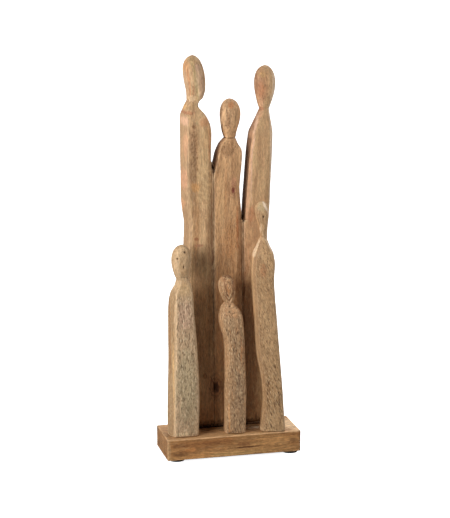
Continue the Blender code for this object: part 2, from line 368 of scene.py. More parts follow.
def make_rings():
    """Growth rings cut at a slant, which show as nested arches and wandering lines."""
    bench, given, out = new_effect(
        "growth rings", {"Vector": "Vector", "Pitch": "Float"}, {"Line": "Float"}
    )
    bent = bench.drawn_out(bench.drift(given["Vector"], 0.3, 30, 2.0, 0.02), 0.16)
    turns = bench.math("DIVIDE", bench.vector("LENGTH", bent), given["Pitch"])
    saw = bench.math("FRACT", turns)
    bench.feed(out["Line"], bench.between(saw, 0.35, 0.95))
    return bench.tree


GRAIN = make_grain()
PORES = make_pores()
KNOT = make_knot()
# Edge wear with a painted highlight on proud ridges, and painted shade in creases.
WEAR_HIGHLIGHT_AND_CREASE_SHADE = make_wear()
STAIN = make_stain()
CURL = make_curl()
RINGS = make_rings()


def facing(bench, direction, least, most, top=None):
    """Where the skin faces a direction, up to a top: a sawn side, or a flat planed beside it."""
    coordinates = bench.add("ShaderNodeTexCoord").outputs
    share = bench.vector("DOT_PRODUCT", coordinates["Normal"], Vector(direction).normalized())
    share = bench.between(share, least, most)
    if top is not None:
        height = bench.add("ShaderNodeSeparateXYZ", {0: coordinates["Object"]}).outputs["Z"]
        under = bench.between(height, top - SOFT_TOP, top + SOFT_TOP, 1.0, 0.0)
        share = bench.math("MULTIPLY", share, under)
    return share


def stained(bench, place, x, z, half_width, half_height, lean=0.0):
    """A stain right through a figure, at a place across and a height, in mm and degrees."""
    return bench.effect(
        STAIN,
        {
            "Vector": place,
            "Place": Vector((x, 0, z)) * MM,
            "Size": Vector((half_width, THROUGH, half_height)) * MM,
            "Lean": math.radians(lean),
        },
    )["Stained"]


def new_finish(name):
    """Starts a material and returns it, its bench and its shader."""
    material = bpy.data.materials.new(name)
    material.use_nodes = True
    return material, Bench(material.node_tree), material.node_tree.nodes["Principled BSDF"]


def hardwood(name, look, seed, turn=(0, 0, 0)):
    """Oiled, open-grained hardwood, with the colours, grain and marks that its look lists.

    Marks are in mm, across, deep and up, and lean in degrees. Their rows hold:
    faces: direction, how squarely it is faced at least and at most, top in metres, shade, share
    stains: place across and up, half width, half height, lean, shade, share
    spots: place, half sizes, shade, share
    curls: place across and up, half width, half height, lean, pitch, shade, share
    pores: width, length, share of them, strength on the rough face and elsewhere, shade, zone
    knots: place, size, colour of the heart
    """
    material, bench, shader = new_finish(name)
    place = bench.add("ShaderNodeTexCoord").outputs["Object"]
    lie = bench.add(
        "ShaderNodeMapping", {"Vector": place, "Location": seed, "Rotation": Euler(turn)}
    ).outputs["Vector"]

    grain = bench.effect(GRAIN, {"Vector": lie, "Wander": look["wander"]})
    colour = bench.blend(bench.between(grain["Broad"], 0.34, 0.66), look["dark"], look["light"])
    streak = bench.between(bench.noise(bench.drawn_out(lie, 0.08), 95, 2.0), 0.52, 0.70)
    colour = bench.tint(colour, streak, look["streaks"], look["streak"])
    cloud = bench.between(bench.noise(bench.drawn_out(lie, 0.4), 26, 3.0, 0.6), 0.42, 0.66)
    colour = bench.tint(colour, cloud, look["clouds"], look["cloud"])

    for direction, least, most, top, shade, share in look["faces"]:
        colour = bench.tint(colour, facing(bench, direction, least, most, top), share, shade)
    # Proud ridges are painted pale, as wear and as a painted highlight; creases get painted shade.
    wear = bench.effect(WEAR_HIGHLIGHT_AND_CREASE_SHADE, {"Vector": place})
    colour = bench.tint(colour, wear["Wear and highlight"], look["wear_and_highlight_share"], look["wear_and_highlight"])
    colour = bench.tint(colour, wear["Crease shade"], CREASE_SHADE_SHARE, look["crease"])
    for x, z, half_width, half_height, lean, shade, share in look["stains"]:
        mark = stained(bench, place, x, z, half_width, half_height, lean)
        colour = bench.tint(colour, mark, share, shade)
    for spot, size, shade, share in look["spots"]:
        mark = bench.effect(
            STAIN, {"Vector": place, "Place": Vector(spot) * MM, "Size": Vector(size) * MM}
        )
        colour = bench.tint(colour, mark["Stained"], share, shade)

    from_heart = bench.vector("SUBTRACT", place, look["heart_of_tree"])
    rings = bench.effect(RINGS, {"Vector": from_heart, "Pitch": look["pitch"]})
    colour = bench.tint(colour, rings["Line"], look["rings"], look["ring"])
    for x, z, half_width, half_height, lean, pitch, shade, share in look["curls"]:
        curl = bench.effect(
            CURL, {"Vector": place, "Pitch": pitch * MM, "Lean": math.radians(lean)}
        )
        patch = stained(bench, place, x, z, half_width, half_height)
        curl = bench.math("MULTIPLY", curl["Ripple"], patch)
        colour = bench.tint(colour, curl, share, shade)

    rough = facing(bench, *look["rough_face"])
    smooth_speckle, rough_speckle = look["speckle"]
    strength = bench.math("MULTIPLY_ADD", rough, rough_speckle - smooth_speckle, smooth_speckle)
    speckle = bench.math("MULTIPLY_ADD", grain["Speckle"], 2.0, -1.0)
    fine = bench.between(grain["Fine"], 0.32, 0.68, 1 - look["contrast"], 1 + look["contrast"])
    shading = bench.math("MULTIPLY", fine, bench.math("MULTIPLY_ADD", speckle, strength, 1.0))
    grey = bench.add("ShaderNodeCombineColor", {0: shading, 1: shading, 2: shading}).outputs[0]
    colour = bench.blend(1.0, colour, grey, "MULTIPLY")

    height = bench.math("MULTIPLY", grain["Fine"], 0.6)
    height = bench.math("MULTIPLY_ADD", grain["Speckle"], 0.5, height)
    for width, length, share, on_rough, elsewhere, shade, zone in look["pores"]:
        pores = bench.effect(
            PORES, {"Vector": lie, "Width": width * MM, "Length": length * MM, "Share": share}
        )
        strength = bench.math("MULTIPLY_ADD", rough, on_rough - elsewhere, elsewhere)
        dash = bench.math("MULTIPLY", pores["Dash"], strength)
        if zone:
            dash = bench.math("MULTIPLY", dash, stained(bench, place, *zone))
        colour = bench.blend(dash, colour, shade)
        if sum(shade[:3]) < DARK_PORE:
            height = bench.math("MULTIPLY_ADD", dash, -1.0, height)

    for knot_place, knot_size, heart in look["knots"]:
        knot = bench.effect(
            KNOT, {"Vector": place, "Place": Vector(knot_place) * MM, "Size": knot_size * MM}
        )
        colour = bench.tint(colour, knot["Halo"], 0.4, look["halo"])
        colour = bench.tint(colour, knot["Rings"], 0.4, heart)
        colour = bench.tint(colour, knot["Heart"], 0.8, heart)
        height = bench.math("MULTIPLY_ADD", knot["Heart"], -0.8, height)
    bump = bench.add("ShaderNodeBump", {"Height": height, "Strength": 0.8, "Distance": PORE_DEPTH})
    bench.feed(shader.inputs["Base Color"], colour)
    bench.feed(shader.inputs["Roughness"], bench.between(grain["Fine"], 0.25, 0.75, 0.56, 0.74))
    bench.feed(shader.inputs["Normal"], bump.outputs["Normal"])
    shader.inputs["Specular IOR Level"].default_value = WOOD_GLOSS
    return material


low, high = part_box("base_block")
deselect_all()
bpy.ops.mesh.primitive_cube_add(size=1, location=(low + high) / 2)
base = bpy.context.object
base.name = "base"
base.scale = high - low
bpy.ops.object.transform_apply(location=True, rotation=False, scale=True)
for edge in base.data.edges:
    ends = [base.data.vertices[i].co for i in edge.vertices]
    edge.select = abs(ends[0].z - ends[1].z) > (high.z - low.z) / 2
bpy.ops.object.mode_set(mode="EDIT")
bpy.ops.mesh.select_mode(type="EDGE")
bpy.ops.mesh.bevel(offset=BASE_CORNER, segments=3)
bpy.ops.object.mode_set(mode="OBJECT")
round_edges(base, BASE_EDGE)
skin_again(base, BASE_VOXEL)
lay_marks(base, BASE_MARK_STRETCH, BASE_MARK_DEPTH)

BASE_LOOK = {
    "light": tone(198, 144, 90),
    "dark": tone(162, 110, 64),
    "streak": tone(188, 118, 62),
    "streaks": 0.4,
    "cloud": tone(196, 152, 98),
    "clouds": 0.4,
    "faces": [
        # Painted light: the top is painted paler than the front.
        ((0, 0, 1), 0.8, 0.95, None, tone(186, 148, 106), 0.65),
        ((-1, 0, 0), 0.8, 0.95, None, tone(150, 108, 68), 0.75),
        ((1, 0, 0), 0.8, 0.95, None, tone(164, 120, 78), 0.7),
    ],
    "rough_face": ((0, -1, 0), 0.86, 0.97),
    "stains": [
        (-80, 24.5, 15, 3.5, 0, tone(116, 76, 44), 0.5),
        (-76, 11, 14, 2.4, 0, tone(116, 76, 44), 0.6),
        (-62, 18, 9, 3, 0, tone(212, 142, 82), 0.6),
        (-50, 8, 22, 2.6, 0, tone(206, 142, 84), 0.5),
        (-28, 26, 26, 2.4, 0, tone(130, 84, 48), 0.5),
        (13, 20, 14, 3.5, 0, tone(140, 84, 48), 0.5),
        (16, 15.7, 24, 1.1, 0, tone(86, 48, 26), 0.85),
        (5, 8, 46, 3.2, 0, tone(214, 170, 110), 0.6),
        (60, 22, 34, 7, 0, tone(218, 160, 100), 0.7),
        (84, 21, 7, 3, 0, tone(100, 62, 38), 0.6),
        (66, 10, 28, 2.6, 0, tone(198, 146, 92), 0.5),
    ],
    "spots": [
        # Painted light on the top: paler at the right end and a lit strip between the front middle
        # and right figures; painted shade darker at the left end.
        ((90, -4, 33.5), (16, 30, 5), tone(242, 208, 164), 0.8),
        ((31, -6, 33.5), (13, 5, 3), tone(255, 238, 208), 1.0),
        ((-89, 4, 33.5), (9, 30, 4), tone(150, 112, 74), 0.7),
        ((94.5, -36, 18), (2.2, 3, 30), tone(110, 74, 46), 0.6),
        ((-93, -36.7, 20), (3.0, 2.4, 24), tone(214, 172, 124), 0.5),
        ((-95, 28, 31), (3, 5, 3), tone(70, 44, 26), 0.8),
        ((-95, 22, 12), (3, 7, 3), tone(104, 70, 42), 0.6),
        ((-95, -6, 27), (3, 9, 2), tone(190, 146, 100), 0.6),
        ((-95, -18, 10), (3, 7, 2.4), tone(108, 70, 42), 0.6),
    ],
    "heart_of_tree": (0, 0.09, -0.06),
    "pitch": 5 * MM,
    "ring": tone(128, 84, 46),
    "rings": 0.12,
    "curls": [],
    "speckle": (0.14, 0.17),
    "contrast": 0.2,
    "wander": 0.012,
    "pores": [
        (1.3, 20, 0.36, 0.3, 0.4, tone(96, 60, 34), None),
        (1.3, 16, 0.32, 0.34, 0.4, tone(224, 180, 126), None),
    ],
    # Painted shade for creases, then the pale colour of proud ridges, worn and with a painted
    # highlight.
    "crease": tone(84, 54, 30),
    "wear_and_highlight": tone(224, 184, 138),
    "wear_and_highlight_share": 0.6,
    "knots": [],
}
base.data.materials.append(
    hardwood(
        "oiled hardwood of the base",
        BASE_LOOK,
        seed=(0.31, 0.17, 0.05),
        turn=(0, math.radians(90), 0),
    )
)
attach(base, "root")
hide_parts("base_block")


# Pads
# Four black rubber discs stuck under the corners of the block, so that it neither rocks nor
# scratches the shelf. Each has a rounded rim and a shallow dish on its underside.

PAD_SIDES = 64
PAD_RIM = 2.2 * MM
PAD_DISH_SLOPE = 0.6 * MM
PAD_DISH = 0.5 * MM
PAD_ROUNDING = 0.7 * MM


def select_faces(piece, chosen):
    """Selects, in edit mode, the faces whose centre and normal the test accepts."""
    bpy.ops.object.mode_set(mode="OBJECT")
    for polygon in piece.data.polygons:
        polygon.select = chosen(polygon.center, polygon.normal)
    bpy.ops.object.mode_set(mode="EDIT")


def black_rubber():
    material, bench, shader = new_finish("black rubber")
    place = bench.add("ShaderNodeTexCoord").outputs["Object"]
    dust = bench.between(bench.noise(place, 260, 4.0, 0.65), 0.5, 0.75)
    colour = bench.blend(bench.math("MULTIPLY", dust, 0.35), tone(26, 24, 23), tone(74, 66, 58))
    speckle = bench.noise(place, 2600, 2.0)
    bump = bench.add("ShaderNodeBump", {"Height": speckle, "Strength": 0.4, "Distance": 0.1 * MM})
    bench.feed(shader.inputs["Base Color"], colour)
    bench.feed(shader.inputs["Roughness"], bench.between(speckle, 0.3, 0.7, 0.62, 0.8))
    bench.feed(shader.inputs["Normal"], bump.outputs["Normal"])
    return material


rubber = black_rubber()
for corner in ("front_left", "front_right", "back_left", "back_right"):
    low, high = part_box(corner + "_pad")
    deselect_all()
    bpy.ops.mesh.primitive_cylinder_add(
        vertices=PAD_SIDES,
        radius=(high.x - low.x) / 2,
        depth=high.z - low.z,
        location=(low + high) / 2,
    )
    pad = bpy.context.object
    pad.name = corner + "_rubber_pad"
    bpy.ops.object.transform_apply(location=True, rotation=False, scale=False)
    select_faces(pad, lambda place, normal: normal.z < -0.9)
    bpy.ops.mesh.select_mode(type="FACE")
    bpy.ops.mesh.inset(thickness=PAD_RIM)
    bpy.ops.mesh.inset(thickness=PAD_DISH_SLOPE)
    bpy.ops.transform.translate(value=(0, 0, PAD_DISH))
    bpy.ops.object.mode_set(mode="OBJECT")
    round_edges(pad, PAD_ROUNDING)
    select_only(pad)
    bpy.ops.object.shade_smooth_by_angle(angle=math.radians(35))
    pad.data.materials.append(rubber)
    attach(pad, "root")
    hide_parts(corner + "_pad")


# Back left figure
# The tallest one, sawn from a plank with the grain running up it, its head rounded and its left
# front corner planed to a wide flat that catches the light. It stands on the block and is
# joined along its right edge to the middle figure, with an open slot above the joint.

FIGURE_VOXEL = 0.95 * MM
MARK_STRETCH = (0.014, 0.014, 0.045)
MARK_DEPTH = 0.9 * MM
MARKS_PROUD = 0.9
CROWN = (545, 551)
LEFT_JOINT = -19
RIGHT_JOINT = 23
JOINT_REACH = 0.8
JOINT_CLOSING = 0.17 * MM
EDGE_SQUARING = 0.5 * MM
LEFT_SLOT_FLOOR = 398
SLOT_SLOPE = 6 * MM
SEAM_END = 150
RUBBED_WIDTH = 10
RUBBED_DEPTH = 2.4 * MM
ANKLE = (36, 41)
UNDERCUT = 3.4 * MM
CHEEK = 502
JAW = 494.6
THROAT = 486
NAPE = 480.9


def carved_copy(node, name):
    """Copies a sawn plank figure as one closed piece with a fine, even skin."""
    piece = bpy.data.objects.new(name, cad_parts[node].data.copy())
    bpy.context.scene.collection.objects.link(piece)
    piece.data.materials.clear()
    select_only(piece)
    bpy.ops.object.mode_set(mode="EDIT")
    bpy.ops.mesh.select_all(action="SELECT")
    bpy.ops.mesh.remove_doubles(threshold=0.01 * MM)
    bpy.ops.object.mode_set(mode="OBJECT")
    skin_again(piece, FIGURE_VOXEL)
    return piece


def untouched(x, y, z, normal):
    """The faces glued to a neighbour, the sole and the crown of the tallest, left as sawn."""
    at_joint = np.minimum(np.abs(x - LEFT_JOINT), np.abs(x - RIGHT_JOINT)) < JOINT_REACH
    glued = (np.abs(normal[0]) > 0.9) * at_joint
    return np.maximum(np.maximum(glued * 1.0, normal[2] < -0.8), fade(z, *CROWN))


def rub_edge(piece, joint, slot_floor):
    """Rubs over the front right edge beside a joint, so that it falls away to the seam."""

    def share(x, y, z, normal):
        near = np.clip(1 - (joint - x) / RUBBED_WIDTH, 0, 1) ** 2
        below_slot = 1 - fade(z, slot_floor + 6, slot_floor + 20)
        beside = below_slot * fade(z, SEAM_END - 20, SEAM_END + 30)
        return near * beside * (normal[1] < -0.4)

    press(piece, RUBBED_DEPTH, share)


def square_edge(piece, joint, side):
    """Brings the front edge at a joint back to a sharp corner, so that two figures meet flush."""
    press(
        piece,
        -side * EDGE_SQUARING,
        lambda x, y, z, normal: bell(x - joint, 0.9) * (normal[1] < -0.25) * (y < 9),
        direction="X",
    )


def close_joint(piece, joint, side):
    """Draws a glued face up to its neighbour, so that no light comes through the joint."""
    press(
        piece,
        -side * JOINT_CLOSING,
        lambda x, y, z, normal: (side * normal[0] > 0.9) * (np.abs(x - joint) < JOINT_REACH),
        direction="X",
    )


def slope_slot(piece, joint, slot_floor):
    """Slopes the floor of a slot up to the back, where the saw was held at a slant."""

    def share(x, y, z, normal):
        floor = (np.abs(x - joint) < 5) * (normal[2] > 0.5) * (np.abs(z - slot_floor) < 3.5)
        return fade(y, 8, 20) * floor

    press(piece, -SLOT_SLOPE, share, direction="Z")


def undercut_foot(piece):
    """Cuts the front of the foot back, which leaves a dark gap over the block."""
    press(piece, UNDERCUT, lambda x, y, z, normal: (normal[1] < -0.3) * (1 - fade(z, *ANKLE)))


def press_side(piece, side, depth, height, spread, soft=(0, 0.5), direction="NORMAL"):
    """Presses the right side, 1, or the left, -1, most at a height and less around it, in mm."""
    press(
        piece,
        depth * MM,
        lambda x, y, z, normal: bell(z - height, spread) * fade(side * normal[0], *soft),
        direction,
    )


def upper_left_side(x, y, z, normal):
    """The left side of the figure, from above its middle to below its head."""
    return fade(-normal[0], 0.1, 0.5) * fade(z, 325, 345) * (1 - fade(z, 475, 495))


def groove(piece, start, end, width, depth):
    """Scores a line into the front between two places, each across and up in mm."""
    start, end = np.array(start), np.array(end)
    run = end - start

    def share(x, y, z, normal):
        along = np.clip(((x - start[0]) * run[0] + (z - start[1]) * run[1]) / (run @ run), 0, 1)
        off = np.hypot(x - start[0] - along * run[0], z - start[1] - along * run[1])
        return bell(off, width) * (normal[1] < -0.15)

    press(piece, depth * MM, share)


def set_up(piece, node, material):
    piece.data.materials.append(material)
    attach(piece, "root")
    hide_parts(node)


back_left = carved_copy("back_left_figure", "back_left")
rub_edge(back_left, LEFT_JOINT, LEFT_SLOT_FLOOR)
slope_slot(back_left, LEFT_JOINT, LEFT_SLOT_FLOOR)
undercut_foot(back_left)
press_side(back_left, 1, -2.0, CHEEK, 8)
press_side(back_left, 1, 2.0, THROAT, 6)
press_side(back_left, 1, -2.9, JAW, 3.8, soft=(0, 0.2), direction="X")
press_side(back_left, 1, 0.8, NAPE, 5, direction="X")
press(back_left, 0.8 * MM, upper_left_side, direction="X")
groove(back_left, (-48.5, 456.5), (-44.5, 459.5), 1.2, 0.4)
groove(back_left, (-57, 477.5), (-52, 476), 1.4, 0.3)
lay_marks(back_left, MARK_STRETCH, MARK_DEPTH, untouched, MARKS_PROUD)
square_edge(back_left, LEFT_JOINT, 1)
close_joint(back_left, LEFT_JOINT, 1)
BACK_LEFT_LOOK = {
    "light": tone(214, 174, 130),
    "dark": tone(176, 136, 98),
    "streak": tone(202, 144, 94),
    "streaks": 0.45,
    "cloud": tone(192, 164, 118),
    "clouds": 0.45,
    "faces": [
        ((-1, -0.5, 0), 0.72, 0.9, 0.48, tone(167, 133, 99), 0.75),
        # Painted shade: the slot floor, facing up below 0.42 m, is painted near black.
        ((0, 0, 1), 0.8, 0.95, 0.42, tone(30, 18, 9), 1.0),
    ],
    "rough_face": ((0, -1, 0), 0.86, 0.97),
    "stains": [
        # Painted shade at the bottom of the slot.
        (-19, 400, 2.6, 7, 0, tone(30, 18, 9), 0.9),
        (-47, 395, 5, 75, 0, tone(140, 104, 74), 0.6),
        (-52, 405, 2.5, 60, 0, tone(138, 102, 72), 0.6),
        (-46, 330, 5, 32, 0, tone(160, 118, 80), 0.5),
        # Painted light: a paler patch, which lifts the shade that the front left figure casts
        # here.
        (-40, 232, 14, 30, 0, tone(220, 170, 122), 0.4),
        (-57, 541, 6, 8, 0, tone(214, 150, 96), 0.45),
        (-56, 514, 6, 26, -8, tone(202, 164, 130), 0.5),
        (-33, 512, 3, 30, -8, tone(212, 176, 146), 0.5),
        (-43.5, 520, 2.8, 30, -10, tone(188, 168, 118), 0.8),
        (-53.8, 527, 1.6, 10, -6, tone(196, 126, 74), 0.5),
        (-46.4, 505, 1.8, 14, 0, tone(156, 100, 60), 0.6),
        (-51, 512, 1.4, 20, -6, tone(196, 136, 92), 0.6),
        (-35.5, 508, 1.6, 16, 4, tone(166, 104, 66), 0.7),
        (-40.8, 537, 3.5, 7, -14, tone(180, 144, 122), 0.7),
        (-36, 519, 2.4, 13, -8, tone(198, 138, 108), 0.7),
        (-39.5, 518, 1.2, 16, -10, tone(140, 100, 70), 0.35),
        (-37, 515, 6, 28, -8, tone(216, 184, 150), 0.6),
        (-46, 516, 4, 26, -8, tone(214, 178, 138), 0.35),
        (-47.8, 496, 6, 5, 0, tone(228, 196, 154), 0.6),
        (-58, 487, 4, 6, 0, tone(214, 166, 104), 0.6),
        (-52.5, 477, 9, 3.0, 4, tone(166, 100, 68), 0.6),
        (-58, 466, 5, 7, 0, tone(224, 178, 146), 0.7),
        (-42.4, 463, 2.2, 3, 0, tone(190, 172, 128), 0.6),
        (-46.6, 458, 4.0, 2.4, 20, tone(112, 70, 42), 0.6),
        (-33.4, 464, 7, 7, 25, tone(184, 118, 76), 0.5),
        (-25, 433, 1.8, 26, 0, tone(176, 114, 72), 0.6),
        (-44.8, 376, 7, 7, 0, tone(212, 154, 92), 0.6),
        (-44.4, 304, 3.6, 2.6, 0, tone(146, 88, 60), 0.7),
        (-40, 295, 7, 2.2, 0, tone(176, 118, 90), 0.7),
        # Painted shade darkens the edge towards the joint; the thin line at the joint is a dark
        # joint.
        (-24, 270, 5, 125, 0, tone(124, 86, 54), 0.45),
        (-21, 330, 2.8, 84, 0, tone(136, 94, 60), 0.6),
        (-19.6, 220, 1.2, 70, 0, tone(84, 52, 30), 0.6),
        (-21, 100, 1.1, 9, -24, tone(50, 28, 15), 0.7),
        (-32, 109, 4, 5, 0, tone(110, 68, 38), 0.7),
        (-58, 386, 3, 16, 0, tone(220, 160, 126), 0.5),
        (-57, 434, 3, 20, 0, tone(220, 166, 126), 0.6),
        (-60, 350, 3, 10, 0, tone(220, 162, 118), 0.6),
        # Painted shade: darker low down between the rows, then a painted contact shadow along the
        # foot.
        (-35, 100, 30, 95, 0, tone(158, 110, 66), 0.35),
        (-35, 36, 60, 10, 0, tone(70, 44, 22), 0.6),
        (-35, 33, 60, 4.0, 0, tone(26, 16, 8), 0.9),
    ],
    "spots": [],
    "heart_of_tree": (-0.03, 0.06, 0.40),
    "pitch": 3.2 * MM,
    "ring": tone(134, 96, 62),
    "rings": 0.2,
    "curls": [
        (-46, 430, 5.5, 40, 55, 5.5, tone(120, 86, 58), 0.4),
        (-36, 365, 16, 42, -50, 8.0, tone(150, 108, 70), 0.28),
        (-50, 535, 12, 16, -14, 3.4, tone(160, 114, 72), 0.3),
    ],
    "speckle": (0.13, 0.13),
    "contrast": 0.12,
    "wander": 0.02,
    "pores": [
        (1.4, 8.0, 0.45, 0.4, 0.4, tone(122, 84, 52), None),
        (1.3, 7.0, 0.35, 0.3, 0.3, tone(228, 194, 152), None),
        (1.5, 3.6, 0.5, 0.6, 0.2, tone(96, 64, 38), (-46, 425, 6, 48)),
        (1.3, 9.0, 0.36, 0.65, 0.65, tone(128, 82, 50), (-46, 515, 14, 34)),
    ],
    # Painted shade for creases, then the pale colour of proud ridges, worn and with a painted
    # highlight.
    "crease": tone(70, 44, 24),
    "wear_and_highlight": tone(232, 198, 156),
    "wear_and_highlight_share": 0.5,
    "halo": tone(142, 88, 58),
    "knots": [((-17, 5, 92), 5.2, tone(56, 30, 16))],
}
set_up(
    back_left,
    "back_left_figure",
    hardwood("oiled hardwood of the back left figure", BACK_LEFT_LOOK, (0.02, 0.4, 0.11)),
)


# Back middle figure
# The shortest of the tall three, between the other two and joined to both, with a small knot
# below its right shoulder and a sawn crease round its neck.

RIGHT_SLOT_FLOOR = 326.5
MIDDLE_LEFT_SHOULDER = 440
MIDDLE_RIGHT_SHOULDER = 417
MIDDLE_NECK = 440.5


def crease(piece, height, width, depth):
    """Sinks a line all round a neck, in mm."""
    press(piece, depth * MM, lambda x, y, z, normal: bell(z - height, width))


back_middle = carved_copy("back_middle_figure", "back_middle")
rub_edge(back_middle, RIGHT_JOINT, RIGHT_SLOT_FLOOR)
slope_slot(back_middle, LEFT_JOINT, LEFT_SLOT_FLOOR)
slope_slot(back_middle, RIGHT_JOINT, RIGHT_SLOT_FLOOR)
undercut_foot(back_middle)
press_side(back_middle, -1, -2.0, MIDDLE_LEFT_SHOULDER, 6, soft=(0, 0.4), direction="X")
press_side(back_middle, 1, -1.1, MIDDLE_RIGHT_SHOULDER, 11, soft=(0.1, 0.5), direction="X")
crease(back_middle, MIDDLE_NECK, 1.0, 0.6)
lay_marks(back_middle, MARK_STRETCH, MARK_DEPTH, untouched, MARKS_PROUD)
square_edge(back_middle, LEFT_JOINT, -1)
square_edge(back_middle, RIGHT_JOINT, 1)
close_joint(back_middle, LEFT_JOINT, -1)
close_joint(back_middle, RIGHT_JOINT, 1)
BACK_MIDDLE_LOOK = BACK_LEFT_LOOK | {
    "light": tone(212, 166, 120),
    "dark": tone(174, 130, 90),
    "streak": tone(196, 134, 84),
    "cloud": tone(204, 160, 112),
    "faces": [
        # Painted shade: the left side, facing the slot, is darker.
        ((-1, 0, 0), 0.8, 0.95, None, tone(108, 76, 48), 0.8),
        # Painted shade: the slot floors, facing up below 0.42 m, are painted near black.
        ((0, 0, 1), 0.8, 0.95, 0.42, tone(30, 18, 9), 1.0),
    ],
    "stains": [
        # Painted shade at the bottoms of both slots.
        (-19, 400, 2.6, 7, 0, tone(30, 18, 9), 0.9),
        (23, 329, 2.6, 7, 0, tone(30, 18, 9), 0.9),
        (1, 474, 15, 26, 0, tone(172, 146, 116), 0.3),
        (6.2, 486, 5, 5, 0, tone(208, 134, 86), 0.55),
        (1.4, 466, 2.4, 14, 0, tone(150, 106, 72), 0.5),
        (-5, 470, 1.6, 14, 6, tone(226, 184, 140), 0.5),
        (0, 425, 13, 9, 0, tone(140, 100, 66), 0.6),
        # Painted shade: a dark band down the left shoulder, beside the slot.
        (-14.5, 416, 2.5, 24, 0, tone(110, 76, 48), 0.7),
        (9, 381, 4, 8, 0, tone(204, 144, 112), 0.6),
        (7.7, 370, 2.6, 3, 0, tone(136, 72, 50), 0.7),
        (-7.7, 357, 4, 50, 0, tone(220, 178, 128), 0.4),
        (4, 300, 14, 30, 0, tone(204, 148, 98), 0.5),
        # Painted shade darkens the edge towards the joint; the thin line at the joint is a dark
        # joint.
        (18, 260, 5, 115, 0, tone(122, 84, 52), 0.5),
        (22.0, 240, 2.0, 88, 0, tone(110, 72, 42), 0.55),
        (-18, 225, 1.0, 70, 0, tone(110, 74, 46), 0.5),
        (-18.2, 345, 1.3, 60, 0, tone(124, 86, 56), 0.6),
        # Painted shade: the body is painted darker around its middle.
        (0, 355, 20, 55, 0, tone(172, 130, 90), 0.25),
        (14, 320, 2, 30, 0, tone(190, 110, 60), 0.5),
        (-17, 92, 5, 7, 0, tone(86, 52, 28), 0.7),
        # Painted shade: darker low down between the rows, then a painted contact shadow along the
        # foot.
        (0, 140, 30, 130, 0, tone(150, 102, 60), 0.45),
        (0, 36, 60, 10, 0, tone(70, 44, 22), 0.6),
        (0, 33, 60, 4.0, 0, tone(26, 16, 8), 0.9),
    ],
    "heart_of_tree": (0.01, 0.05, 0.30),
    "rings": 0.16,
    "curls": [],
    "pores": [
        (1.4, 8.0, 0.45, 0.4, 0.4, tone(118, 80, 48), None),
        (1.3, 7.0, 0.35, 0.3, 0.3, tone(228, 188, 144), None),
        (1.5, 2.6, 0.55, 0.75, 0.75, tone(88, 56, 34), (0, 428, 15, 12)),
        (1.6, 3.0, 0.4, 0.5, 0.3, tone(128, 80, 46), (5, 290, 15, 40)),
        (1.6, 3.0, 0.55, 0.8, 0.8, tone(84, 54, 32), (1.4, 466, 4, 20)),
        (1.3, 3.4, 0.45, 0.6, 0.6, tone(112, 74, 46), (0, 472, 15, 28)),
    ],
    "knots": [((8, 5, 369.5), 2.8, tone(122, 58, 44)), ((-17, 5, 92), 5.2, tone(56, 30, 16))],
}
set_up(
    back_middle,
    "back_middle_figure",
    hardwood("oiled hardwood of the back middle figure", BACK_MIDDLE_LOOK, (0.13, 0.22, 0.4)),
)


# Back right figure
# Joined to the middle figure low down and leaning away from it above, of plainer wood, with a
# reddish flat planed along its left front corner.

RIGHT_LEAN_OUT = 0.7 * MM
RIGHT_SIDE_OUT = 1.1 * MM
RIGHT_NECK = 479.5


def above_middle(x, y, z, normal):
    return fade(z, 335, 385)


def lower_right_side(x, y, z, normal):
    return fade(normal[0], 0.1, 0.5) * (x > 40) * (1 - fade(z, 345, 375))


